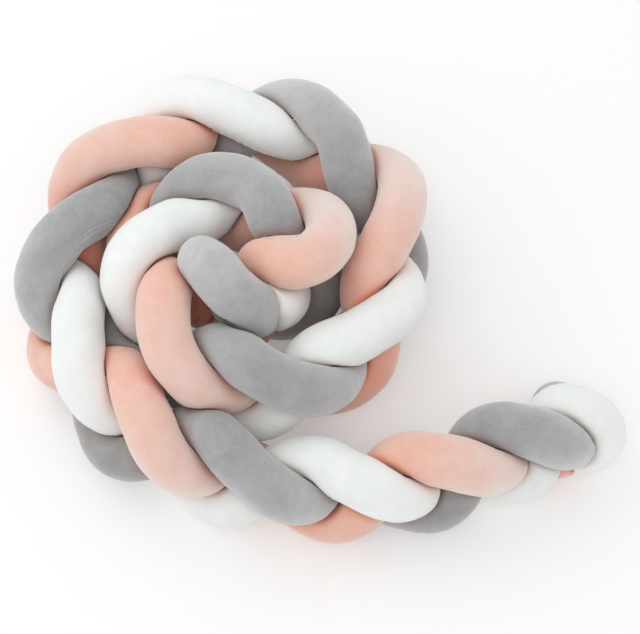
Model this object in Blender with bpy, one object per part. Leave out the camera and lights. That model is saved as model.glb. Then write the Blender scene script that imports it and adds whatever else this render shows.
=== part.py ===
"""Plaited crib bumper: three long stuffed velvet tubes plaited together, the plait stood on
its edge and coiled into a loose rose, with its free end led out over the floor.

Metres, Z up, floor at z = 0.  Every strand is one closed, filled solid.
The plait runs along ROUTE.  Each strand swings round that route by the rule of a plait of
three, and its round section is pressed flat where it meets a strand, a turn or the floor.
"""
import bpy
import numpy as np

# ---------------------------------------------------------------- sizes of the real thing
STRAND_RADIUS = 0.0295        # a stuffed tube where nothing presses on it
HALF_HEIGHT = 0.0405          # from the route to a strand's middle, at the plait's edge
HALF_THICKNESS = 0.0165       # how far a strand swings to either face of the plait
FACE_SHAPE = 0.13             # second swing, which straightens the crossings on the edge
SEAM_GAP = 0.0004             # each strand stays this far off the face that it shares
SEAM_SLACK = 0.04             # share of the pressed-in depth that the seam opens by besides
TIGHT_BEND = 0.92             # share of a bend's own radius that its inner side may fill

# ---------------------------------------------------------------- how finely it is drawn
SIDES = 14                    # corners round a strand
RING_PITCH = 0.0128           # between the rings along a strand
PROBE_PITCH = 0.003           # between the points that the other strands are felt with
NEAR_BEND = 0.012             # own points nearer than this along the strand are not felt
KNOT_LOBES = 0.1              # lobes between the knots that a middle line is drawn through
CAP_ANGLES = (20.0, 42.0, 62.0, 78.0)   # rings round each closed end, in degrees

# ---------------------------------------------------------------- where the plait lies
# A row for each place where a strand tops the upper edge, from the free end to the middle of
# the coil: the route's x, y and height, the lean of the upper edge towards the middle in
# degrees, and how much of HALF_HEIGHT and of HALF_THICKNESS the strands take up there.
ROUTE_COLUMNS = ("x", "y", "height", "lean", "rise", "swing")
FIRST_LOBE = -1
ROUTE = (
    (0.291, -0.144, 0.042, -1.0, 0.38, 1.30),
    (0.280, -0.134, 0.050, 0.0, 0.58, 0.90),
    (0.212, -0.159, 0.063, 8.0, 0.94, 1.00),
    (0.127, -0.191, 0.065, 9.0, 0.98, 0.94),
    (0.032, -0.205, 0.060, 10.0, 0.84, 1.00),
    (-0.080, -0.190, 0.069, 5.0, 1.06, 1.20),
    (-0.181, -0.145, 0.074, 12.0, 1.24, 1.20),
    (-0.253, -0.053, 0.066, 12.0, 1.00, 1.04),
    (-0.265, 0.049, 0.070, -6.0, 1.10, 1.08),
    (-0.198, 0.157, 0.070, -5.0, 1.08, 1.36),
    (-0.102, 0.206, 0.066, 0.0, 0.96, 1.06),
    (0.016, 0.172, 0.069, -6.0, 1.08, 1.10),
    (0.073, 0.061, 0.072, -7.0, 1.14, 1.22),
    (0.042, -0.056, 0.078, -1.0, 0.96, 0.88),
    (-0.052, -0.106, 0.094, 0.0, 1.16, 1.12),
    (-0.167, -0.053, 0.095, 15.0, 1.40, 1.20),
    (-0.176, 0.066, 0.090, 28.0, 1.00, 0.92),
    (-0.066, 0.099, 0.093, 0.0, 1.02, 1.18),
    (-0.019, 0.017, 0.092, -13.0, 1.70, 1.30),
    (-0.075, -0.010, 0.091, 15.0, 0.75, 1.00),
    (-0.094, -0.021, 0.108, 10.0, 1.50, 2.30),
    (-0.149, -0.036, 0.107, 20.0, 1.20, 0.80),
)

# Each strand's name, the lobe it tops first, its start and end counted in lobes, its colour.
STRAND_COLUMNS = ("name", "first_top", "start", "end", "colour")
STRANDS = (
    ("strand_white", 0, 0.45, 17.75, (0.93, 0.94, 0.945)),
    ("strand_grey", 1, 0.2, 19.25, (0.64, 0.64, 0.655)),
    ("strand_pink", 2, 0.75, 19.2, (0.94, 0.76, 0.69)),
)

# Where a strand is pushed aside from the plait's rule: the lobe and the lobes to either side over
# which it eases back, and the push.
PUSH_COLUMNS = ("strand", "lobe", "reach", "x", "y", "height")
PUSHES = (
    ("strand_white", 9.55, 0.5, 0.006, 0.002, 0.0),
    ("strand_white", 13.65, 0.6, -0.008, -0.007, 0.0),
    ("strand_white", 17.20, 0.5, -0.008, -0.002, 0.0),
    ("strand_grey", 13.85, 0.6, -0.002, -0.012, 0.0),
    ("strand_grey", 16.95, 0.7, 0.008, 0.001, 0.0),
    ("strand_grey", 18.40, 0.5, 0.005, -0.004, 0.0),
    ("strand_grey", 19.40, 0.5, 0.0, 0.0, -0.016),
    ("strand_pink", 17.45, 0.5, -0.009, 0.005, 0.0),
    ("strand_pink", 18.20, 0.4, -0.005, 0.002, 0.0),
    ("strand_pink", 19.20, 0.9, -0.018, 0.012, -0.035),
)

# How the three free ends leave the plait and are tucked in under one another: places that a
# strand's middle passes, from its very end inward.
TUCK_COLUMNS = ("strand", "x", "y", "height")
TUCKED_ENDS = (
    ("strand_white", 0.274, -0.151, 0.040),
    ("strand_white", 0.286, -0.149, 0.054),
    ("strand_white", 0.284, -0.138, 0.070),
    ("strand_white", 0.269, -0.131, 0.077),
    ("strand_grey", 0.252, -0.107, 0.030),
    ("strand_grey", 0.263, -0.115, 0.037),
    ("strand_pink", 0.250, -0.154, 0.028),
)


def clear_scene():
    """Start from an empty file."""
    for thing in list(bpy.data.objects):
        bpy.data.objects.remove(thing, do_unlink=True)


def unit(rows):
    """Each row at length one."""
    return rows / np.linalg.norm(rows, axis=-1, keepdims=True)


def smooth_curve(knots, values, at):
    """Natural cubic curve through rows of values, read at the given places."""
    count = len(knots)
    step = np.diff(knots)[:, None]
    slope = np.diff(values, axis=0) / step
    system = np.eye(count)
    target = np.zeros_like(values)
    for row in range(1, count - 1):
        system[row, row - 1] = step[row - 1, 0]
        system[row, row] = 2 * (step[row - 1, 0] + step[row, 0])
        system[row, row + 1] = step[row, 0]
        target[row] = 6 * (slope[row] - slope[row - 1])
    bend = np.linalg.solve(system, target)
    span = np.clip(np.searchsorted(knots, at, side="right") - 1, 0, count - 2)
    ahead = (at - knots[span])[:, None]
    behind = (knots[span + 1] - at)[:, None]
    width = step[span]
    curved = (bend[span] * behind ** 3 + bend[span + 1] * ahead ** 3) / (6 * width)
    left = (values[span] / width - bend[span] * width / 6) * behind
    right = (values[span + 1] / width - bend[span + 1] * width / 6) * ahead
    return curved + left + right


def plait_route(lobe):
    """The plait's middle, its upward and outward ways, and its rise and swing, by lobe."""
    table = np.array(ROUTE, float)
    knots = FIRST_LOBE + np.arange(len(table), dtype=float)
    rows = smooth_curve(knots, table, lobe)
    middle = rows[:, 0:3]
    lean = np.radians(rows[:, 3])[:, None]
    ahead = np.gradient(middle, axis=0)
    ahead[:, 2] = 0.0
    ahead = unit(ahead)
    level_out = np.stack([-ahead[:, 1], ahead[:, 0], np.zeros(len(ahead))], axis=1)
    upright = np.array([0.0, 0.0, 1.0])
    outward = level_out * np.cos(lean) + upright * np.sin(lean)
    upward = upright * np.cos(lean) - level_out * np.sin(lean)
    return middle, upward, outward, rows[:, 4], rows[:, 5]


def strand_line(strand, pitch):
    """Middle line of one strand, evenly spaced."""
    lobe = np.arange(strand["start"], strand["end"], KNOT_LOBES)
    middle, upward, outward, rise, swing = plait_route(lobe)
    turn = 2 * np.pi / 3 * (lobe - strand["first_top"]) + np.pi / 2
    rise = rise * HALF_HEIGHT * np.sin(turn)
    swing = swing * HALF_THICKNESS * (np.sin(2 * turn) + FACE_SHAPE * np.sin(4 * turn))
    knots = middle + upward * rise[:, None] + outward * swing[:, None]
    for name, pushed_lobe, reach, *push in PUSHES:
        if name == strand["name"]:
            away = np.clip(np.abs(lobe - pushed_lobe) / reach, 0.0, 1.0)
            knots += np.cos(away * np.pi / 2)[:, None] ** 2 * push
    tucked = [place for name, *place in TUCKED_ENDS if name == strand["name"]]
    knots = np.concatenate([tucked, knots])
    walked = np.concatenate([[0.0], np.cumsum(np.linalg.norm(np.diff(knots, axis=0), axis=1))])
    stops = np.linspace(0.0, walked[-1], int(round(walked[-1] / pitch)) + 1)
    return smooth_curve(walked, knots, stops)


def ring_frames(line):
    """Direction of travel and two side directions at each point, carried along untwisted."""
    travel = unit(np.gradient(line, axis=0))
    side = np.empty_like(line)
    side[0] = unit(np.cross(travel[0], [0.0, 0.0, 1.0]))
    for row in range(1, len(line)):
        carried = side[row - 1] - travel[row] * (side[row - 1] @ travel[row])
        side[row] = unit(carried)
    return travel, side, np.cross(travel, side)


def reach(point, directions, others, own):
    """How far the cloth reaches from a point before it meets what presses on it."""
    far = np.full(len(directions), STRAND_RADIUS)
    for probes, pressed in ((others, True), (own, False)):
        apart = probes - point
        length = np.linalg.norm(apart, axis=1)
        near = length < 2.2 * STRAND_RADIUS
        along = directions @ apart[near].T / length[near]
        half = length[near] / 2
        if pressed:
            half = half - SEAM_GAP - SEAM_SLACK * np.maximum(STRAND_RADIUS - half, 0.0)
        else:
            half = half * TIGHT_BEND
        limit = np.where(along > 0.05, half / np.maximum(along, 0.05), STRAND_RADIUS)
        far = np.minimum(far, limit.min(axis=1, initial=STRAND_RADIUS))
    downward = -directions[:, 2]
    to_floor = np.where(downward > 0.01, point[2] / np.maximum(downward, 0.01), STRAND_RADIUS)
    return np.minimum(far, to_floor)


def strand_rings(strand, strands):
    """Rings of one strand from end to end, and the two points that close it."""
    line = strand_line(strand, RING_PITCH)
    own = strand_line(strand, PROBE_PITCH)
    own_walk = PROBE_PITCH * np.arange(len(own))
    others = [strand_line(other, PROBE_PITCH) for other in strands if other is not strand]
    others = np.concatenate(others)
    travel, side, lift = ring_frames(line)
    turns = 2 * np.pi * np.arange(SIDES) / SIDES
    round_way = np.cos(turns)[:, None, None] * side + np.sin(turns)[:, None, None] * lift
    round_way = round_way.transpose(1, 0, 2)
    pitch = np.linalg.norm(np.diff(line, axis=0), axis=1).mean()
    tips = []
    rings = []
    stations = [(0, angle) for angle in reversed(CAP_ANGLES)]
    stations += [(row, 0.0) for row in range(len(line))]
    stations += [(len(line) - 1, angle) for angle in CAP_ANGLES]
    for row, angle in stations:
        outside = -travel[row] if row == 0 else travel[row]
        bend = np.radians(angle)
        ways = round_way[row] * np.cos(bend) + outside * np.sin(bend)
        apart_along = np.abs(own_walk - row * pitch)
        mine = own[apart_along > NEAR_BEND]
        far = reach(line[row], ways, others, mine)
        rings.append(line[row] + ways * far[:, None])
    for row, outside in ((0, -travel[0]), (len(line) - 1, travel[-1])):
        far = reach(line[row], outside[None, :], others, own[:1] + 10.0)
        tips.append(line[row] + outside * far[0])
    return rings, tips


def velvet(name, colour):
    """Short-pile velvet in one plain colour."""
    material = bpy.data.materials.new(name)
    material.use_nodes = True
    surface = material.node_tree.nodes["Principled BSDF"]
    linear = [channel ** 2.2 for channel in colour]
    surface.inputs["Base Color"].default_value = (*linear, 1.0)
    surface.inputs["Roughness"].default_value = 0.9
    surface.inputs["Metallic"].default_value = 0.0
    material.diffuse_color = (*linear, 1.0)
    return material


def build_strand(strand, strands):
    """One strand as one closed solid."""
    rings, tips = strand_rings(strand, strands)
    corners = [tuple(corner) for ring in rings for corner in ring]
    corners += [tuple(tip) for tip in tips]
    faces = []
    for row in range(len(rings) - 1):
        for corner in range(SIDES):
            beside = (corner + 1) % SIDES
            here = row * SIDES
            there = here + SIDES
            faces.append((here + corner, here + beside, there + beside, there + corner))
    last = (len(rings) - 1) * SIDES
    start_tip = len(corners) - 2
    for corner in range(SIDES):
        beside = (corner + 1) % SIDES
        faces.append((start_tip, beside, corner))
        faces.append((start_tip + 1, last + corner, last + beside))
    mesh = bpy.data.meshes.new(strand["name"])
    mesh.from_pydata(corners, [], faces)
    mesh.polygons.foreach_set("use_smooth", [True] * len(mesh.polygons))
    mesh.update()
    thing = bpy.data.objects.new(strand["name"], mesh)
    thing.data.materials.append(velvet(strand["name"] + "_velvet", strand["colour"]))
    bpy.context.scene.collection.objects.link(thing)
    return thing


clear_scene()
strands = [dict(zip(STRAND_COLUMNS, row)) for row in STRANDS]
for strand in strands:
    build_strand(strand, strands)
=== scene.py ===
"""Looks of a plaited crib bumper: three stuffed velvet tubes with their seams and closed ends.

Metres, Z up, floor at z = 0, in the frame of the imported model.
"""

import bpy
import numpy as np
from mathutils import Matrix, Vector


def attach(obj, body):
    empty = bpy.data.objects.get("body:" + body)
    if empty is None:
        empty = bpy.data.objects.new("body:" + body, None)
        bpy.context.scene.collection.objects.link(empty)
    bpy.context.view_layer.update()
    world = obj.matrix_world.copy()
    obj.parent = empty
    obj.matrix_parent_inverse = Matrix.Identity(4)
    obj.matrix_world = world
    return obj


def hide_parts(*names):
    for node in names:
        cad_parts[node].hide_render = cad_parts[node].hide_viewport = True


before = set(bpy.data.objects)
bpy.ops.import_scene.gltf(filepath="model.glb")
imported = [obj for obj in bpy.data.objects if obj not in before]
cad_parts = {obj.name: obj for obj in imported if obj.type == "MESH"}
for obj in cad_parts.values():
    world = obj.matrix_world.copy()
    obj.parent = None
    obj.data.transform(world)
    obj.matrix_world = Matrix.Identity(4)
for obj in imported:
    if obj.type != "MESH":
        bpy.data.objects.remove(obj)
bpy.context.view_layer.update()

# ======================================================================== the lay of the plait
# The bumper is one plait of three tubes, about two metres long.  It is stood on its edge and
# wound into a loose rose, and only its own weight and the tucked ends hold it so.

# A row for each place where a tube tops the upper edge, from the free end to the middle of the
# coil: the route's x, y and height, the lean of the upper edge towards the middle in degrees,
# and how much of HALF_HEIGHT and of HALF_THICKNESS the tubes take up there.
ROUTE_COLUMNS = ("x", "y", "height", "lean", "rise", "swing")
FIRST_LOBE = -1
ROUTE = (
    (0.291, -0.144, 0.042, -1.0, 0.38, 1.30),
    (0.280, -0.134, 0.050, 0.0, 0.58, 0.90),
    (0.212, -0.159, 0.063, 8.0, 0.94, 1.00),
    (0.127, -0.191, 0.065, 9.0, 0.98, 0.94),
    (0.032, -0.205, 0.060, 10.0, 0.84, 1.00),
    (-0.080, -0.190, 0.069, 5.0, 1.06, 1.20),
    (-0.181, -0.145, 0.074, 12.0, 1.24, 1.20),
    (-0.253, -0.053, 0.066, 12.0, 1.00, 1.04),
    (-0.265, 0.049, 0.070, -6.0, 1.10, 1.08),
    (-0.198, 0.157, 0.070, -5.0, 1.08, 1.36),
    (-0.102, 0.206, 0.066, 0.0, 0.96, 1.06),
    (0.016, 0.172, 0.069, -6.0, 1.08, 1.10),
    (0.073, 0.061, 0.072, -7.0, 1.14, 1.22),
    (0.042, -0.056, 0.078, -1.0, 0.96, 0.88),
    (-0.052, -0.106, 0.094, 0.0, 1.16, 1.12),
    (-0.167, -0.053, 0.095, 15.0, 1.40, 1.20),
    (-0.176, 0.066, 0.090, 28.0, 1.00, 0.92),
    (-0.066, 0.099, 0.093, 0.0, 1.02, 1.18),
    (-0.019, 0.017, 0.092, -13.0, 1.70, 1.30),
    (-0.075, -0.010, 0.091, 15.0, 0.75, 1.00),
    (-0.094, -0.021, 0.108, 10.0, 1.50, 2.30),
    (-0.149, -0.036, 0.107, 20.0, 1.20, 0.80),
)
HALF_HEIGHT = 0.0405          # from the route to a tube's middle, at the plait's edge
HALF_THICKNESS = 0.0165       # how far a tube swings to either face of the plait
FACE_SHAPE = 0.13             # second swing, which straightens the crossings on the edge
KNOT_LOBES = 0.1              # lobes between the knots that a middle line is drawn through

# Each tube's name, the node it stands for, the lobe it tops first, and its start and end
# counted in lobes.
TUBE_COLUMNS = ("name", "node", "first_top", "start", "end")
TUBES = (
    ("white_tube", "strand_white", 0, 0.45, 17.75),
    ("grey_tube", "strand_grey", 1, 0.2, 19.25),
    ("pink_tube", "strand_pink", 2, 0.75, 19.2),
)

# Where a tube is pushed aside from the plait's rule: the lobe and the lobes to either side over
# which it eases back, and the push.
PUSH_COLUMNS = ("tube", "lobe", "reach", "x", "y", "height")
PUSHES = (
    ("white_tube", 9.55, 0.5, 0.006, 0.002, 0.0),
    ("white_tube", 13.65, 0.6, -0.008, -0.007, 0.0),
    ("white_tube", 17.20, 0.5, -0.008, -0.002, 0.0),
    ("grey_tube", 13.85, 0.6, -0.002, -0.012, 0.0),
    ("grey_tube", 16.95, 0.7, 0.008, 0.001, 0.0),
    ("grey_tube", 18.40, 0.5, 0.005, -0.004, 0.0),
    ("grey_tube", 19.40, 0.5, 0.0, 0.0, -0.016),
    ("pink_tube", 17.45, 0.5, -0.009, 0.005, 0.0),
    ("pink_tube", 18.20, 0.4, -0.005, 0.002, 0.0),
    ("pink_tube", 19.20, 0.9, -0.018, 0.012, -0.035),
)

# How the three free ends leave the plait and are tucked in under one another: places that a
# tube's middle passes, from its very end inward.
TUCK_COLUMNS = ("tube", "x", "y", "height")
TUCKED_ENDS = (
    ("white_tube", 0.274, -0.151, 0.040),
    ("white_tube", 0.286, -0.149, 0.054),
    ("white_tube", 0.284, -0.138, 0.070),
    ("white_tube", 0.269, -0.131, 0.077),
    ("grey_tube", 0.252, -0.107, 0.030),
    ("grey_tube", 0.263, -0.115, 0.037),
    ("pink_tube", 0.250, -0.154, 0.028),
)

# Where a tube's seam runs: degrees above level, on the side that faces the coil's middle, by
# lobe.  It looks out from under the tube at a few lobes only.
SEAM_PLACE_COLUMNS = ("tube", "lobe", "above")
SEAM_PLACES = (
    ("white_tube", 6.0, -45.0),
    ("white_tube", 8.3, -9.0),
    ("white_tube", 9.2, -9.0),
    ("white_tube", 11.5, -45.0),
    ("white_tube", 14.5, -7.0),
    ("white_tube", 15.2, -7.0),
    ("white_tube", 17.0, -45.0),
    ("grey_tube", 4.5, -40.0),
    ("grey_tube", 6.7, 24.0),
    ("grey_tube", 7.2, 20.0),
    ("grey_tube", 7.6, 4.0),
    ("grey_tube", 8.8, -35.0),
    ("grey_tube", 19.0, -50.0),
    ("pink_tube", 14.5, -45.0),
    ("pink_tube", 16.8, 4.0),
    ("pink_tube", 17.5, 4.0),
    ("pink_tube", 19.0, -45.0),
)


def named_rows(columns, table):
    """The rows of a table, with their values by column name."""
    return [dict(zip(columns, row)) for row in table]


def rows_about(tube, columns, table):
    """The rows of a table that are about one tube, with their values by column name."""
    return [row for row in named_rows(columns, table) if row["tube"] == tube["name"]]


tubes = named_rows(TUBE_COLUMNS, TUBES)


def unit(rows):
    """Each row at length one."""
    return rows / np.maximum(np.linalg.norm(rows, axis=-1, keepdims=True), 1e-12)


def smooth_curve(knots, values, at):
    """Natural cubic curve through rows of values, read at the given places."""
    count = len(knots)
    step = np.diff(knots)[:, None]
    slope = np.diff(values, axis=0) / step
    system = np.eye(count)
    target = np.zeros_like(values)
    for row in range(1, count - 1):
        system[row, row - 1] = step[row - 1, 0]
        system[row, row] = 2 * (step[row - 1, 0] + step[row, 0])
        system[row, row + 1] = step[row, 0]
        target[row] = 6 * (slope[row] - slope[row - 1])
    bend = np.linalg.solve(system, target)
    span = np.clip(np.searchsorted(knots, at, side="right") - 1, 0, count - 2)
    ahead = (at - knots[span])[:, None]
    behind = (knots[span + 1] - at)[:, None]
    width = step[span]
    curved = (bend[span] * behind ** 3 + bend[span + 1] * ahead ** 3) / (6 * width)
    left = (values[span] / width - bend[span] * width / 6) * behind
    right = (values[span + 1] / width - bend[span + 1] * width / 6) * ahead
    return curved + left + right


def plait_route(lobe):
    """The plait's middle, its upward and outward ways, and its rise and swing, by lobe."""
    knots = FIRST_LOBE + np.arange(len(ROUTE), dtype=float)
    route = dict(zip(ROUTE_COLUMNS, smooth_curve(knots, np.array(ROUTE), lobe).T))
    middle = np.stack([route["x"], route["y"], route["height"]], axis=1)
    lean = np.radians(route["lean"])[:, None]
    ahead = np.gradient(middle, axis=0)
    ahead[:, 2] = 0.0
    ahead = unit(ahead)
    level_out = np.stack([-ahead[:, 1], ahead[:, 0], np.zeros(len(ahead))], axis=1)
    upright = np.array([0.0, 0.0, 1.0])
    outward = level_out * np.cos(lean) + upright * np.sin(lean)
    upward = upright * np.cos(lean) - level_out * np.sin(lean)
    return middle, upward, outward, route["rise"], route["swing"]


def tube_line(tube, pitch):
    """Middle line of one tube, evenly spaced, the way its seam faces, and the lobe it is at."""
    lobe = np.arange(tube["start"], tube["end"], KNOT_LOBES)
    middle, upward, outward, rise, swing = plait_route(lobe)
    turn = 2 * np.pi / 3 * (lobe - tube["first_top"]) + np.pi / 2
    rise = rise * HALF_HEIGHT * np.sin(turn)
    swing = swing * HALF_THICKNESS * (np.sin(2 * turn) + FACE_SHAPE * np.sin(4 * turn))
    knots = middle + upward * rise[:, None] + outward * swing[:, None]
    for row in rows_about(tube, PUSH_COLUMNS, PUSHES):
        away = np.clip(np.abs(lobe - row["lobe"]) / row["reach"], 0.0, 1.0)
        push = np.array([row["x"], row["y"], row["height"]])
        knots += np.cos(away * np.pi / 2)[:, None] ** 2 * push
    tucked = [(row["x"], row["y"], row["height"])
              for row in rows_about(tube, TUCK_COLUMNS, TUCKED_ENDS)]
    knots = np.concatenate([tucked, knots])
    walked = np.concatenate([[0.0], np.cumsum(np.linalg.norm(np.diff(knots, axis=0), axis=1))])
    places = rows_about(tube, SEAM_PLACE_COLUMNS, SEAM_PLACES)
    above = np.interp(lobe, [row["lobe"] for row in places], [row["above"] for row in places])
    above = np.radians(above)[:, None]
    seam_way = upward * np.sin(above) - outward * np.cos(above)
    seam_way = np.concatenate([np.repeat(seam_way[:1], len(tucked), axis=0), seam_way])
    stops = np.linspace(0.0, walked[-1], int(round(walked[-1] / pitch)) + 1)
    drawn = smooth_curve(walked, np.concatenate([knots, seam_way], axis=1), stops)
    return drawn[:, :3], drawn[:, 3:], np.interp(stops, walked[len(tucked):], lobe)


# ======================================================================== the stuffed tubes
# Each tube is a strip of short-pile velvet sewn into a sleeve, turned right side out and filled
# with loose polyester fibre.  The filling swells it, the plait presses it flat where it meets
# the other tubes and the floor, and both its ends are gathered shut.

TUBE_RADIUS = 0.0295          # a stuffed tube where nothing presses on it
GIRTH = 2 * np.pi * TUBE_RADIUS
SEAM_GAP = 0.0004             # each tube stays this far off the face that it shares
SEAM_SLACK = 0.015            # share of the pressed-in depth that the seam opens by besides
TIGHT_BEND = 0.92             # share of a bend's own radius that its inner side may fill
BULGE = 0.35                  # share of the filling pressed out on one side that bulges another
PROBE_PITCH = 0.003           # between the points that the other tubes are felt with
NEAR_BEND = 0.012             # own points nearer than this along the tube are not felt
FELT_REACH = 2.4              # and no points further off than this many radii
LEAST_FACING = 0.05           # share of a direction that has to point at what is felt
LEAST_FALL = 0.01             # and at the floor
RING_PITCH = 0.006            # mesh of the cloth that is simulated, along the tube
SIDES = 32                    # and round it
TIP_REACH = 0.3               # a closed end's tip lies this share of a ring beyond its last one
CAP_ANGLES = (14.0, 28.0, 42.0, 56.0, 69.0, 81.0)   # rings round each closed end, in degrees
BLUNTNESS = 3.4               # of the ends in the coil's middle, which are stuffed full; 2 is a ball


def room(point, directions, others, own, widest, edge):
    """How far the cloth reaches from a point before something presses on it.

    The higher the edge, the more sharply the cloth turns into the flat that is pressed.
    """
    inverse = np.full(len(directions), widest ** -edge)
    for probes, pressed in ((others, True), (own, False)):
        apart = probes - point
        length = np.linalg.norm(apart, axis=1)
        near = length < FELT_REACH * widest
        along = directions @ apart[near].T / length[near]
        half = length[near] / 2
        if pressed:
            half = half - SEAM_GAP - SEAM_SLACK * np.maximum(widest - half, 0.0)
        else:
            half = half * TIGHT_BEND
        limit = np.where(along > LEAST_FACING, half / np.maximum(along, LEAST_FACING), 1.0)
        inverse += limit.min(axis=1, initial=1.0) ** -edge
    downward = -directions[:, 2]
    to_floor = point[2] / np.maximum(downward, LEAST_FALL)
    inverse += np.where(downward > LEAST_FALL, to_floor, 1.0) ** -edge
    return inverse ** (-1 / edge)


def felt_by(tube, walked):
    """Middles of the other tubes, and this tube's own middle away from the given place."""
    others = np.concatenate([other["probes"] for other in tubes if other is not tube])
    own_walk = np.arange(len(tube["probes"])) * PROBE_PITCH
    return others, tube["probes"][np.abs(own_walk - walked) > NEAR_BEND]


def slack_sleeve(tube, radius, edge):
    """Rings of the tube before it swells, with the middle and the walk that each starts from."""
    line, seam_way, _ = tube_line(tube, RING_PITCH)
    travel = unit(np.gradient(line, axis=0))
    seam = unit(seam_way - (seam_way * travel).sum(axis=1, keepdims=True) * travel)
    beside = np.cross(travel, seam)
    last = len(line) - 1
    stations = [(0, angle, -1) for angle in reversed(CAP_ANGLES)]
    stations += [(row, 0.0, 1) for row in range(last + 1)]
    stations += [(last, angle, 1) for angle in CAP_ANGLES]
    turns = 2 * np.pi * np.arange(SIDES)[:, None] / SIDES
    rings = []
    for row, angle, end in stations:
        bend = np.radians(angle)
        round_way = np.cos(turns) * seam[row] + np.sin(turns) * beside[row]
        ways = round_way * np.cos(bend) + end * travel[row] * np.sin(bend)
        others, own = felt_by(tube, row * RING_PITCH)
        pressed = room(line[row], ways, others, own, radius, edge)
        bulged = radius * (1 + BULGE * (1 - pressed.mean() / radius))
        far = room(line[row], ways, others, own, bulged, edge)
        if end > 0:
            far *= (np.cos(bend) ** BLUNTNESS + np.sin(bend) ** BLUNTNESS) ** (-1 / BLUNTNESS)
        rings.append(line[row] + ways * far[:, None])
    rows = [row for row, _, _ in stations]
    closed = [np.sin(np.radians(angle)) for _, angle, _ in stations]
    return np.array(rings), line[rows], np.array(rows) * RING_PITCH, np.array(closed)


def sleeve_mesh(name, rings, walked, around):
    """Closed mesh of rings and two tips, with a map in metres: along and round the cloth."""
    count, sides = rings.shape[:2]
    middles = rings.mean(axis=1)
    first_tip = middles[0] * (1 + TIP_REACH) - middles[1] * TIP_REACH
    last_tip = middles[-1] * (1 + TIP_REACH) - middles[-2] * TIP_REACH
    corners = np.concatenate([rings.reshape(-1, 3), [first_tip, last_tip]])
    row = np.repeat(np.arange(count - 1), sides) * sides
    side = np.tile(np.arange(sides), count - 1)
    beside = (side + 1) % sides
    quads = np.stack([row + side, row + beside, row + sides + beside, row + sides + side], 1)
    side = np.arange(sides)
    beside = (side + 1) % sides
    end = (count - 1) * sides
    tip = np.full(sides, count * sides)
    fans = np.concatenate([np.stack([tip, beside, side], 1),
                           np.stack([tip + 1, end + side, end + beside], 1)])
    mesh = bpy.data.meshes.new(name)
    mesh.from_pydata(corners, [], quads.tolist() + fans.tolist())
    mesh.polygons.foreach_set("use_smooth", np.ones(len(mesh.polygons), bool))
    row = np.repeat(np.arange(count - 1), sides)
    side = np.tile(np.arange(sides), count - 1)
    along = np.stack([walked[row], walked[row], walked[row + 1], walked[row + 1]], 1)
    across = np.stack([around[side], around[side + 1], around[side + 1], around[side]], 1)
    quad_map = np.stack([along, across], 2).reshape(-1, 2)
    side = np.arange(sides)
    tip_map = np.stack([around[side], around[side + 1], around[side]], 1)
    fan_map = [np.stack([np.full((sides, 3), walk), tip_map], 2) for walk in walked[[0, -1]]]
    cloth_map = np.concatenate([quad_map, np.concatenate(fan_map).reshape(-1, 2)])
    mesh.uv_layers.new(name="cloth").data.foreach_set("uv", cloth_map.ravel())
    mesh.update()
    return mesh


# The filling swells the sleeve in a cloth simulation, from a slightly slack start.
SLACK_RADIUS = 0.0272
SWELLING_FRAMES = 20
MOST_SWELLING = 0.006         # no point of the cloth moves further than this
VELVET_CLOTH = {
    "quality": 5,
    "mass": 0.3,
    "tension_stiffness": 15,
    "compression_stiffness": 15,
    "shear_stiffness": 5,
    "bending_stiffness": 0.5,
    "use_pressure": True,
    "uniform_pressure_force": 8.0,
}


def swell(rings):
    """The filling swells the slack sleeve until the cloth is tight."""
    even = np.arange(rings.shape[1] + 1) * GIRTH / rings.shape[1]
    mesh = sleeve_mesh("slack_sleeve", rings, np.arange(len(rings)) * RING_PITCH, even)
    sleeve = bpy.data.objects.new("slack_sleeve", mesh)
    bpy.context.scene.collection.objects.link(sleeve)
    cloth = sleeve.modifiers.new("Cloth", "CLOTH")
    for name, value in VELVET_CLOTH.items():
        setattr(cloth.settings, name, value)
    cloth.settings.effector_weights.gravity = 0.0
    cloth.collision_settings.use_collision = False
    cloth.collision_settings.use_self_collision = False
    cloth.point_cache.frame_start = 1
    cloth.point_cache.frame_end = SWELLING_FRAMES
    for moment in range(1, SWELLING_FRAMES + 1):
        bpy.context.scene.frame_set(moment)
    swollen = sleeve.evaluated_get(bpy.context.evaluated_depsgraph_get())
    flat = np.empty(len(mesh.vertices) * 3)
    swollen.data.vertices.foreach_get("co", flat)
    bpy.data.objects.remove(sleeve)
    bpy.data.meshes.remove(mesh)
    bpy.context.scene.frame_set(1)
    moved = flat.reshape(-1, 3)[:-2].reshape(rings.shape) - rings
    moved -= moved.mean(axis=1, keepdims=True)      # the plait holds each ring where it lies
    far = np.linalg.norm(moved, axis=2, keepdims=True)
    return rings + moved * np.minimum(1.0, MOST_SWELLING / np.maximum(far, 1e-9))


# The swollen sleeve is drawn finer: three rows for each ring, and columns that crowd at the
# seam, which is column 0.  Distances are in metres from the seam, round the tube.
FINE_ROWS = 3
SEAM_COLUMNS = (0.0012, 0.0024, 0.0036, 0.0052, 0.0074)
PLAIN_COLUMNS = 30
half_way = np.linspace(SEAM_COLUMNS[-1], GIRTH / 2, PLAIN_COLUMNS + 1)[1:]
one_side = np.concatenate([SEAM_COLUMNS, half_way])
COLUMNS = np.concatenate([[0.0], one_side, GIRTH - one_side[-2::-1]])
from_seam = np.where(COLUMNS > GIRTH / 2, COLUMNS - GIRTH, COLUMNS)


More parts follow.
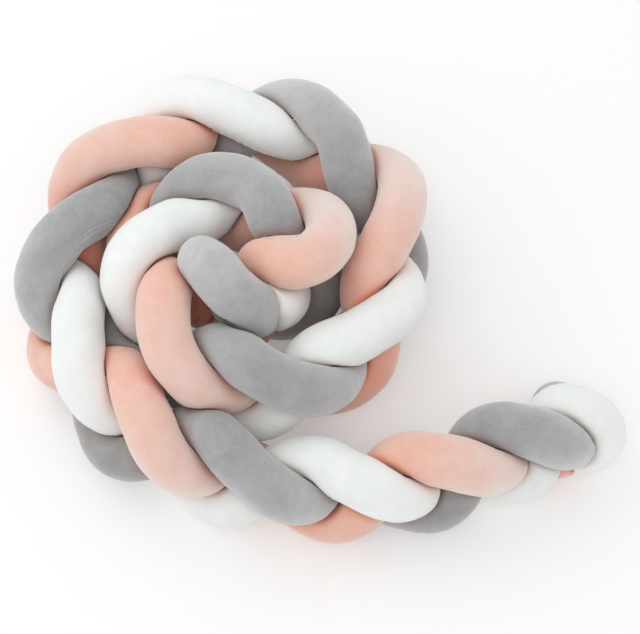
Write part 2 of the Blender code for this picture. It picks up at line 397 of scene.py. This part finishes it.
def between(values, places, closed):
    """Smooth reading of rows of values at fractional places."""
    here = np.floor(places).astype(int)
    share = (places - here).reshape(-1, *[1] * (values.ndim - 1))
    near = [here + offset for offset in (-1, 0, 1, 2)]
    if closed:
        near = [index % len(values) for index in near]
    else:
        near = [np.clip(index, 0, len(values) - 1) for index in near]
    a, b, c, d = [values[index] for index in near]
    cubic = 3 * (b - c) + d - a
    square = 2 * a - 5 * b + 4 * c - d
    return b + share / 2 * (c - a + share * (square + share * cubic))


LUMP_WAVES = 9
COARSEST, FINEST = 0.6, 1.5   # waves to the size that is asked for
LUMP_PEAK = 1.5               # about the highest that the waves reach together


def lumps(places, size, seed):
    """Soft unevenness from -1 to 1 over points in metres, about as coarse as the size."""
    chance = np.random.default_rng(seed)
    total = np.zeros(places.shape[:-1])
    for _ in range(LUMP_WAVES):
        way = unit(chance.normal(size=3)) * 2 * np.pi / size * chance.uniform(COARSEST, FINEST)
        total += np.cos(places @ way + chance.uniform(0, 2 * np.pi))
    return total / LUMP_WAVES ** 0.5 / LUMP_PEAK


def outward_of(rings):
    """Outward way of the cloth at every point of a tube."""
    along = np.gradient(rings, axis=0)
    round_way = np.roll(rings, -1, axis=1) - np.roll(rings, 1, axis=1)
    return unit(np.cross(round_way, along))


# The seam is pressed open and held by two rows of stitches, which dent the pile and pucker it.
STITCH_ROW = 0.0024           # from the seam to either row of stitches
DENT_DEPTH = 0.0013
DENT_WIDTH = 0.0008
SEAM_SINK = 0.0010            # how far the seam draws the tube in, and how widely
SEAM_SINK_WIDTH = 0.008
PUCKER_PITCH = 0.0092
PUCKER_HEIGHTS = {"white_tube": 0.0012, "grey_tube": 0.0002, "pink_tube": 0.0010}
PUCKER_WIDTH = 0.0055
PUCKER_DRIFT = 1.3            # radians by which the puckers stray from their pitch, and how slowly
PUCKER_DRIFT_SIZE = 0.05
PUCKER_LEAST, PUCKER_MORE = 0.65, 0.35    # mean strength of a pucker, and how much it varies
PUCKER_MORE_SIZE = 0.03

# Uneven filling: the size of its lumps and how high they stand.
LUMP_SIZES = ((0.055, 0.0006), (0.021, 0.0002), (0.010, 0.00008))

CREASE_PITCH = 0.013          # creases across the inner side of a bend
CREASE_DEPTH = 0.0005
CREASE_FROM, CREASE_TO = 0.45, 0.80   # share of the bend's radius at which creases start, fill
CREASE_DRIFT = 1.6            # radians by which they stray from their pitch, and how slowly
CREASE_DRIFT_SIZE = 0.03
PLEATS = 14                   # gathers of a closed end
PLEAT_DEPTH = 0.0007
PLEATS_START, PLEATS_MEET = 10, 40    # the higher, the nearer to the tip they start, and fade


def dress(rings, middles, walked, closed, pucker_height, seed):
    """Seam, puckers, creases, uneven filling and gathered ends, as depths in the cloth."""
    outward = outward_of(rings)
    depth = np.zeros(rings.shape[:2])
    for number, (size, height) in enumerate(LUMP_SIZES):
        depth += height * lumps(rings, size, seed + number)
    off_row = (np.abs(from_seam) - STITCH_ROW) / DENT_WIDTH
    depth -= DENT_DEPTH * np.exp(-off_row ** 2)
    depth -= SEAM_SINK * np.exp(-(from_seam / SEAM_SINK_WIDTH) ** 2)
    drift = PUCKER_DRIFT * lumps(middles, PUCKER_DRIFT_SIZE, seed + 5)
    strength = PUCKER_LEAST + PUCKER_MORE * lumps(middles, PUCKER_MORE_SIZE, seed + 6)
    pucker = strength * np.cos(2 * np.pi * walked / PUCKER_PITCH + drift)
    depth += pucker_height * pucker[:, None] * np.exp(-(from_seam / PUCKER_WIDTH) ** 2)
    body = closed == 0
    curving = np.zeros_like(middles)
    travel = unit(np.gradient(middles[body], axis=0))
    curving[body] = np.gradient(travel, axis=0) / (RING_PITCH / FINE_ROWS)
    squeezed = ((rings - middles[:, None]) * curving[:, None]).sum(axis=2)
    squeezed = np.clip((squeezed - CREASE_FROM) / (CREASE_TO - CREASE_FROM), 0.0, 1.0)
    drift = CREASE_DRIFT * lumps(rings, CREASE_DRIFT_SIZE, seed + 7)
    wave = np.cos(2 * np.pi * walked[:, None] / CREASE_PITCH + drift)
    depth -= CREASE_DEPTH * squeezed ** 2 * (3 - 2 * squeezed) * (0.5 + 0.5 * wave)
    pleat = np.cos(PLEATS * COLUMNS / TUBE_RADIUS)
    gathered = closed ** PLEATS_START * (1 - closed ** PLEATS_MEET)
    depth += PLEAT_DEPTH * gathered[:, None] * pleat
    return rings + outward * depth[:, :, None]


WIDEST = 0.033                # a tube where it bulges most
PRESSED_EDGE = 40.0           # how sharply cloth turns into a pressed flat, when held off it
SLACK_EDGE = 14.0             # and when slack


def settle(tube, rings, middles, walked):
    """Keep the cloth off the faces that it shares with the other tubes, itself and the floor."""
    settled = []
    for ring, middle, walk in zip(rings, middles, walked):
        apart = ring - middle
        far = np.linalg.norm(apart, axis=1)
        others, own = felt_by(tube, walk)
        most = room(middle, apart / far[:, None], others, own, WIDEST, PRESSED_EDGE)
        settled.append(middle + apart * np.minimum(1.0, most / far)[:, None])
    return np.array(settled)


CONTACT_SHADE_FALL = 0.004            # painted shade: the colour deepens this far from where other cloth touches
OVERHANG_SHADE_FALL = 0.022             # and this far under cloth that hangs over it
HUNG_HEIGHT = 1.2 * TUBE_RADIUS       # such cloth has its tube's middle this far above
SHADE_REACH = 4 * TUBE_RADIUS         # tubes whose middles lie further off don't count
OWN_TURN = 0.10               # own cloth nearer than this along the tube isn't other cloth

# Painted shade where a tube runs deep in the coil: the tube, the lobe, over how
# many lobes to either side, and its share of the full shade colour.
DEEP_SHADE_COLUMNS = ("tube", "lobe", "reach", "share")
DEEP_SHADE = (
    ("pink_tube", 7.10, 0.40, 0.9),
    ("pink_tube", 9.95, 0.45, 0.8),
    ("pink_tube", 12.10, 0.35, 0.6),
    ("pink_tube", 16.00, 0.30, 0.6),
    ("pink_tube", 19.15, 0.30, 0.9),
)


def shade_of_crevices(tube, rings, middles, walked, lobe):
    """Painted shade at every point of a tube, from 0 to 1: near other cloth, under cloth that hangs
    over it, and at listed lobes deep in the coil.
    """
    others = np.concatenate([other["probes"] for other in tubes if other is not tube])
    own_walk = np.arange(len(tube["probes"])) * PROBE_PITCH
    close = []
    for ring, middle, walk in zip(rings, middles, walked):
        turns = np.concatenate([others, tube["probes"][np.abs(own_walk - walk) > OWN_TURN]])
        near = turns[np.linalg.norm(turns - middle, axis=1) < SHADE_REACH]
        apart = near - ring[:, None]
        gap = np.maximum(np.linalg.norm(apart, axis=2) - TUBE_RADIUS, 0.0)
        fall = np.where(apart[:, :, 2] > HUNG_HEIGHT, OVERHANG_SHADE_FALL, CONTACT_SHADE_FALL)
        close.append(np.exp(-gap / fall).max(axis=1, initial=0.0))
    painted_shade = np.array(close)
    for row in rows_about(tube, DEEP_SHADE_COLUMNS, DEEP_SHADE):
        # painted shade deep in the coil, at the listed lobes
        pressed = row["share"] * np.exp(-((lobe - row["lobe"]) / row["reach"]) ** 2)
        painted_shade = np.maximum(painted_shade, pressed[:, None])
    return painted_shade


SHEEN_BY_CLIMB = 0.7        # painted sheen: the colour is paler where the tube climbs
PALER_ALONG_SEAM = 0.45        # the colour is paler along the seam, added to the painted sheen
SEAM_BAND = 0.006

# Painted sheen besides, at listed lobes: the tube, the lobe, over how many lobes to either
# side, and how far up (pale) or down (deep).
SHEEN_PATCH_COLUMNS = ("tube", "lobe", "reach", "up")
SHEEN_PATCHES = (
    ("grey_tube", 4.45, 0.25, 0.5),
    ("grey_tube", 9.50, 0.35, 0.8),
    ("grey_tube", 12.70, 0.30, -0.4),
    ("grey_tube", 13.40, 0.25, 0.7),
    ("grey_tube", 15.30, 0.35, -0.4),
    ("grey_tube", 18.55, 0.25, -0.5),
    ("grey_tube", 19.20, 0.30, 1.5),
    ("pink_tube", 1.60, 0.30, 0.3),
    ("pink_tube", 6.10, 0.50, 0.5),
    ("pink_tube", 10.50, 0.35, 0.8),
    ("pink_tube", 16.60, 0.30, 0.4),
)


def paint_sheen(tube, middles, walked, closed, lobe):
    """Painted sheen at every point of a tube; 0 keeps the deep tone, 1 gives the pale one."""
    body = closed == 0
    climb = unit(np.gradient(middles[body], axis=0))[:, 2]
    climb = np.interp(walked, walked[body], climb)
    painted_sheen = np.clip(0.5 + SHEEN_BY_CLIMB * climb, 0.0, 1.0)
    for row in rows_about(tube, SHEEN_PATCH_COLUMNS, SHEEN_PATCHES):
        painted_sheen = painted_sheen + row["up"] * np.exp(-((lobe - row["lobe"]) / row["reach"]) ** 2)
    return painted_sheen[:, None] + PALER_ALONG_SEAM * np.exp(-(from_seam / SEAM_BAND) ** 2)


def point_values(mesh, name, values):
    """Keep a value for every point of a tube's rings, and for its two tips, in its mesh."""
    values = np.append(values.ravel(), values[[0, -1], 0])
    mesh.attributes.new(name, "FLOAT", "POINT").data.foreach_set("value", values)


def stuffed_tube(tube, seed):
    """One tube, swollen by its filling, sewn and gathered, as a piece of the scene."""
    rings, middles, walked, closed = slack_sleeve(tube, SLACK_RADIUS, SLACK_EDGE)
    rings = swell(rings)
    places = np.arange((len(rings) - 1) * FINE_ROWS + 1) / FINE_ROWS
    rings = between(rings, places, closed=False)
    middles = np.stack([np.interp(places, np.arange(len(middles)), column)
                        for column in middles.T], axis=1)
    walked = np.interp(places, np.arange(len(walked)), walked)
    closed = np.interp(places, np.arange(len(closed)), closed)
    round_places = COLUMNS / GIRTH * SIDES
    rings = between(rings.transpose(1, 0, 2), round_places, closed=True).transpose(1, 0, 2)
    rings = dress(rings, middles, walked, closed, PUCKER_HEIGHTS[tube["name"]], seed)
    rings = settle(tube, rings, middles, walked)
    tube["cloth"] = rings
    mesh = sleeve_mesh(tube["name"], rings, walked, np.append(COLUMNS, GIRTH))
    lobe = np.interp(walked, np.arange(len(tube["lobes"])) * PROBE_PITCH, tube["lobes"])
    # painted sheen and painted shade, kept on the mesh for the velvet's colour
    point_values(mesh, "painted_sheen", paint_sheen(tube, middles, walked, closed, lobe))
    point_values(mesh, "painted_shade", shade_of_crevices(tube, rings, middles, walked, lobe))
    piece = bpy.data.objects.new(tube["name"], mesh)
    bpy.context.scene.collection.objects.link(piece)
    return piece


def linear(hex_colour):
    """An sRGB hex colour as linear light, with full alpha."""
    parts = [int(hex_colour[at:at + 2], 16) / 255 for at in (1, 3, 5)]
    light = [part / 12.92 if part <= 0.04045 else ((part + 0.055) / 1.055) ** 2.4
             for part in parts]
    return (*light, 1.0)


def add(tree, kind, inputs=None, **settings):
    """A node with its settings, and with each input set to a value or linked to a socket."""
    made = tree.nodes.new(kind)
    for name, value in settings.items():
        setattr(made, name, value)
    for name, value in (inputs or {}).items():
        if isinstance(value, bpy.types.NodeSocket):
            tree.links.new(value, made.inputs[name])
        else:
            made.inputs[name].default_value = value
    return made


PILE_GRAIN = 0.0014           # real pile is 0.1 mm; drawn coarser, so that it shows at all
PILE_HEIGHT = 0.0003
NAP_PATCH = 0.026             # a touch of the hand lays the pile one way over this width
NAP_STREAK = 0.009            # finer unevenness inside such a patch
PILE_LEAN = 14.0              # degrees by which the pile leans back along the tube

# How much each counts beside the patches, the painted sheen among them, and the sums at which the
# colour is deep and pale.
STREAK_WEIGHT = 0.70
GRAIN_WEIGHT = 0.80
PAINTED_SHEEN_WEIGHT = 0.90
DEEP_AT, PALE_AT = 1.15, 2.80


def polyester_velvet(name, laid, pale_tone_and_sheen, crevice_shade_colour, rim, depth):
    """Short-pile polyester velvet.

    The cut pile drinks the light face on and throws it back at a low angle, so each tube has
    a soft pale rim.  Its colour is lighter or darker in random patches, and painted sheen makes it
    paler where the tube climbs, and paler or deeper at listed lobes; it is also paler along the
    seam.  Painted shade makes it deeper and warmer where other cloth touches it, hangs over it or
    lies deep around it.  A little light passes through the pile.
    """
    material = bpy.data.materials.new(name)
    material.use_nodes = True
    tree = material.node_tree
    surface = tree.nodes["Principled BSDF"]
    place = add(tree, "ShaderNodeTexCoord")
    patches = add(tree, "ShaderNodeTexNoise", {
        "Vector": place.outputs["Object"], "Scale": 1 / NAP_PATCH, "Detail": 1.0,
        "Roughness": 0.5, "Distortion": 0.6})
    streaks = add(tree, "ShaderNodeTexNoise", {
        "Vector": place.outputs["Object"], "Scale": 1 / NAP_STREAK, "Detail": 2.0,
        "Roughness": 0.55, "Distortion": 0.8})
    pile = add(tree, "ShaderNodeTexNoise", {
        "Vector": place.outputs["Object"], "Scale": 1 / PILE_GRAIN, "Detail": 2.0,
        "Roughness": 0.6})
    uneven = add(tree, "ShaderNodeMath", {
        0: streaks.outputs["Fac"], 1: STREAK_WEIGHT, 2: patches.outputs["Fac"]},
        operation="MULTIPLY_ADD")
    uneven = add(tree, "ShaderNodeMath", {
        0: pile.outputs["Fac"], 1: GRAIN_WEIGHT, 2: uneven.outputs["Value"]},
        operation="MULTIPLY_ADD")
    # painted sheen, kept on the mesh, joins the random patches in the mix from deep tone to pale
    sheen_node = add(tree, "ShaderNodeAttribute", attribute_name="painted_sheen")
    tone_and_sheen = add(tree, "ShaderNodeMath", {
        0: sheen_node.outputs["Fac"], 1: PAINTED_SHEEN_WEIGHT, 2: uneven.outputs["Value"]},
        operation="MULTIPLY_ADD")
    tone_and_sheen = add(tree, "ShaderNodeMapRange", {
        "Value": tone_and_sheen.outputs["Value"], "From Min": DEEP_AT, "From Max": PALE_AT})
    colour = add(tree, "ShaderNodeMix", {
        "Factor": tone_and_sheen.outputs["Result"], "A": linear(laid), "B": linear(pale_tone_and_sheen)},
        data_type="RGBA")
    # painted shade: the colour turns to the shade colour near other cloth, under overhangs and deep
    # in the coil
    crevice_shade_node = add(tree, "ShaderNodeAttribute", attribute_name="painted_shade")
    colour = add(tree, "ShaderNodeMix", {
        "Factor": crevice_shade_node.outputs["Fac"], "A": colour.outputs["Result"],
        "B": linear(crevice_shade_colour)}, data_type="RGBA")
    along = add(tree, "ShaderNodeTangent", direction_type="UV_MAP", uv_map="cloth")
    upright = add(tree, "ShaderNodeNewGeometry")
    leaning = add(tree, "ShaderNodeVectorMath", {
        0: along.outputs["Tangent"], 1: [-np.tan(np.radians(PILE_LEAN))] * 3,
        2: upright.outputs["Normal"]}, operation="MULTIPLY_ADD")
    leaning = add(tree, "ShaderNodeVectorMath", {
        0: leaning.outputs["Vector"]}, operation="NORMALIZE")
    relief = add(tree, "ShaderNodeBump", {
        "Height": pile.outputs["Fac"], "Normal": leaning.outputs["Vector"],
        "Strength": 0.8, "Distance": PILE_HEIGHT})
    tree.links.new(colour.outputs["Result"], surface.inputs["Base Color"])
    tree.links.new(relief.outputs["Normal"], surface.inputs["Normal"])
    surface.inputs["Roughness"].default_value = 0.95
    surface.inputs["Specular IOR Level"].default_value = 0.15
    surface.inputs["Subsurface Weight"].default_value = 0.35
    surface.inputs["Subsurface Radius"].default_value = depth
    surface.inputs["Subsurface Scale"].default_value = 0.005
    surface.inputs["Sheen Weight"].default_value = 0.85
    surface.inputs["Sheen Roughness"].default_value = 0.6
    surface.inputs["Sheen Tint"].default_value = linear(rim)
    return material


# A sewing machine holds the seam with two rows of thread of the cloth's own colour.
STITCH_PITCH = 0.004
STITCH_LENGTH = 0.0032
THREAD_RADIUS = 0.00028


def stitch_tree():
    """Geometry nodes that lay a stitch along a line at every stitch pitch."""
    tree = bpy.data.node_groups.new("seam_stitches", "GeometryNodeTree")
    sockets = tree.interface
    sockets.new_socket("Geometry", in_out="INPUT", socket_type="NodeSocketGeometry")
    sockets.new_socket("Stitch Pitch", in_out="INPUT", socket_type="NodeSocketFloat")
    sockets.new_socket("Stitch Length", in_out="INPUT", socket_type="NodeSocketFloat")
    sockets.new_socket("Thread Radius", in_out="INPUT", socket_type="NodeSocketFloat")
    sockets.new_socket("Thread", in_out="INPUT", socket_type="NodeSocketMaterial")
    sockets.new_socket("Geometry", in_out="OUTPUT", socket_type="NodeSocketGeometry")
    given = add(tree, "NodeGroupInput")
    line = add(tree, "GeometryNodeMeshToCurve", {"Mesh": given.outputs["Geometry"]})
    stops = add(tree, "GeometryNodeCurveToPoints", {
        "Curve": line.outputs["Curve"], "Length": given.outputs["Stitch Pitch"]},
        mode="LENGTH")
    bead = add(tree, "GeometryNodeMeshUVSphere", {"Segments": 6, "Rings": 4, "Radius": 1.0})
    half_length = add(tree, "ShaderNodeMath", {
        0: given.outputs["Stitch Length"], 1: 0.5}, operation="MULTIPLY")
    size = add(tree, "ShaderNodeCombineXYZ", {
        "X": given.outputs["Thread Radius"], "Y": given.outputs["Thread Radius"],
        "Z": half_length.outputs["Value"]})
    laid = add(tree, "GeometryNodeInstanceOnPoints", {
        "Points": stops.outputs["Points"], "Instance": bead.outputs["Mesh"],
        "Rotation": stops.outputs["Rotation"], "Scale": size.outputs["Vector"]})
    real = add(tree, "GeometryNodeRealizeInstances", {"Geometry": laid.outputs["Instances"]})
    threaded = add(tree, "GeometryNodeSetMaterial", {
        "Geometry": real.outputs["Geometry"], "Material": given.outputs["Thread"]})
    add(tree, "NodeGroupOutput", {"Geometry": threaded.outputs["Geometry"]})
    return tree


stitches = stitch_tree()


def polyester_thread(name, colour):
    """Spun polyester sewing thread: matt, with a slight gloss."""
    material = bpy.data.materials.new(name)
    material.use_nodes = True
    surface = material.node_tree.nodes["Principled BSDF"]
    surface.inputs["Base Color"].default_value = linear(colour)
    surface.inputs["Roughness"].default_value = 0.6
    return material


def sewn_rows(tube, thread):
    """Both rows of stitches along a tube's seam, as a plain mesh."""
    cloth = tube["cloth"][len(CAP_ANGLES) * FINE_ROWS:-len(CAP_ANGLES) * FINE_ROWS]
    columns = [int(np.argmin(np.abs(from_seam - side * STITCH_ROW))) for side in (-1, 1)]
    rows = [cloth[:, column] for column in columns]
    count = len(cloth)
    edges = [(row * count + at, row * count + at + 1)
             for row in range(2) for at in range(count - 1)]
    lines = bpy.data.meshes.new("stitch_lines")
    lines.from_pydata(np.concatenate(rows), edges, [])
    guide = bpy.data.objects.new("stitch_lines", lines)
    bpy.context.scene.collection.objects.link(guide)
    sewing = guide.modifiers.new("sewing", "NODES")
    sewing.node_group = stitches
    values = {"Stitch Pitch": STITCH_PITCH, "Stitch Length": STITCH_LENGTH,
              "Thread Radius": THREAD_RADIUS, "Thread": thread}
    for socket in stitches.interface.items_tree:
        if socket.name in values:
            sewing[socket.identifier] = values[socket.name]
    sewn = guide.evaluated_get(bpy.context.evaluated_depsgraph_get())
    mesh = bpy.data.meshes.new_from_object(sewn)
    bpy.data.objects.remove(guide)
    mesh.name = tube["name"] + "_stitches"
    piece = bpy.data.objects.new(mesh.name, mesh)
    bpy.context.scene.collection.objects.link(piece)
    return piece


for tube in tubes:
    tube["probes"], _, tube["lobes"] = tube_line(tube, PROBE_PITCH)
white_tube, grey_tube, pink_tube = tubes


# ------------------------------------------------------------------------- the white tube
# White velvet, faintly cool.  It caps the free end: it bends round over the grey tube's end and
# its own end is tucked under on the near side.

cloth = stuffed_tube(white_tube, seed=11)
# colours: deep tone, pale tone with painted sheen, painted shade, sheen tint
cloth.data.materials.append(polyester_velvet(
    "white_velvet", "#e9eeec", "#ffffff", "#efe9e4", "#d8dcda", (1.0, 1.0, 1.0)))
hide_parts("strand_white")
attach(cloth, "root")
seam = sewn_rows(white_tube, polyester_thread("white_thread", "#e9ecec"))
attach(seam, "root")

# ------------------------------------------------------------------------- the grey tube
# Mid grey velvet, the one on which the painted sheen and the sewn seam show most.  Its free end
# is tucked under the white one and looks out behind it.

cloth = stuffed_tube(grey_tube, seed=23)
# colours: deep tone, pale tone with painted sheen, painted shade, sheen tint
cloth.data.materials.append(polyester_velvet(
    "grey_velvet", "#929394", "#c1c1c2", "#938681", "#ececec", (0.6, 0.6, 0.6)))
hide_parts("strand_grey")
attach(cloth, "root")
seam = sewn_rows(grey_tube, polyester_thread("grey_thread", "#9c9c9f"))
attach(seam, "root")

# ------------------------------------------------------------------------- the pink tube
# Salmon pink velvet, which colours the light between the tubes.  Its free end lies under the
# grey and the white one.

cloth = stuffed_tube(pink_tube, seed=37)
# colours: deep tone, pale tone with painted sheen, painted shade, sheen tint
cloth.data.materials.append(polyester_velvet(
    "pink_velvet", "#ecb5a1", "#efdad2", "#e08c70", "#e4e9e7", (1.0, 0.5, 0.35)))
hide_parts("strand_pink")
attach(cloth, "root")
seam = sewn_rows(pink_tube, polyester_thread("pink_thread", "#e8b7a6"))
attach(seam, "root")


# ======================================================================== the studio
# A plain white sweep in pale air that comes from all round, with three large soft boxes: one
# behind on the left, one low on the left and one over the camera.  Shadows are faint.

FLOOR_HALF = 4.0
FLOOR_TOP = -0.0003           # just under the cloth that rests on it
PAPER_GLOW = 0.20             # the sweep is lit from behind as well, so that it burns out to white
floor_mesh = bpy.data.meshes.new("floor")
corners = [(x * FLOOR_HALF, y * FLOOR_HALF, FLOOR_TOP)
           for x, y in ((-1, -1), (1, -1), (1, 1), (-1, 1))]
floor_mesh.from_pydata(corners, [], [(0, 1, 2, 3)])
floor = bpy.data.objects.new("floor", floor_mesh)
bpy.context.scene.collection.objects.link(floor)
paper = bpy.data.materials.new("white_paper")
paper.use_nodes = True
surface = paper.node_tree.nodes["Principled BSDF"]
surface.inputs["Base Color"].default_value = linear("#e6e6e6")
surface.inputs["Roughness"].default_value = 0.9
surface.inputs["Emission Color"].default_value = linear("#ffffff")
surface.inputs["Emission Strength"].default_value = PAPER_GLOW
floor_mesh.materials.append(paper)

# Each soft box's name, place, width in metres and power in watts.
SOFT_BOXES = (
    ("key_box", (-1.1, 1.1, 2.1), 1.8, 9.3),
    ("side_box", (-2.1, -0.2, 1.1), 1.4, 4.6),
    ("front_box", (0.0, -0.75, 2.3), 1.0, 5.8),
)
for name, place, width, power in SOFT_BOXES:
    lamp = bpy.data.lights.new(name, "AREA")
    lamp.size = width
    lamp.energy = power
    box = bpy.data.objects.new(name, lamp)
    box.location = place
    box.rotation_euler = (-Vector(place)).to_track_quat("-Z", "Y").to_euler()
    bpy.context.scene.collection.objects.link(box)

AIR_STRENGTH = 0.80
air = bpy.data.worlds.new("studio_air")
air.use_nodes = True
air.node_tree.nodes["Background"].inputs["Color"].default_value = linear("#ffffff")
air.node_tree.nodes["Background"].inputs["Strength"].default_value = AIR_STRENGTH
bpy.context.scene.world = air

# Plain display colours, which keep the white velvet as pale as it is.
bpy.context.scene.view_settings.view_transform = "Standard"

# The camera looks steeply down from the front, as in the photograph.
CAMERA_ELEVATION = 70.4
CAMERA_DISTANCE = 1.9
CAMERA_TARGET = np.array([0.0025, -0.020, 0.070])
LENS = 101.8
steep = np.radians(CAMERA_ELEVATION)
view = bpy.data.cameras.new("camera")
view.lens = LENS
view.sensor_width = 36.0
camera = bpy.data.objects.new("camera", view)
camera.location = CAMERA_TARGET + CAMERA_DISTANCE * np.array([0, -np.cos(steep), np.sin(steep)])
camera.rotation_euler = (np.pi / 2 - steep, 0.0, 0.0)
bpy.context.scene.collection.objects.link(camera)
bpy.context.scene.camera = camera
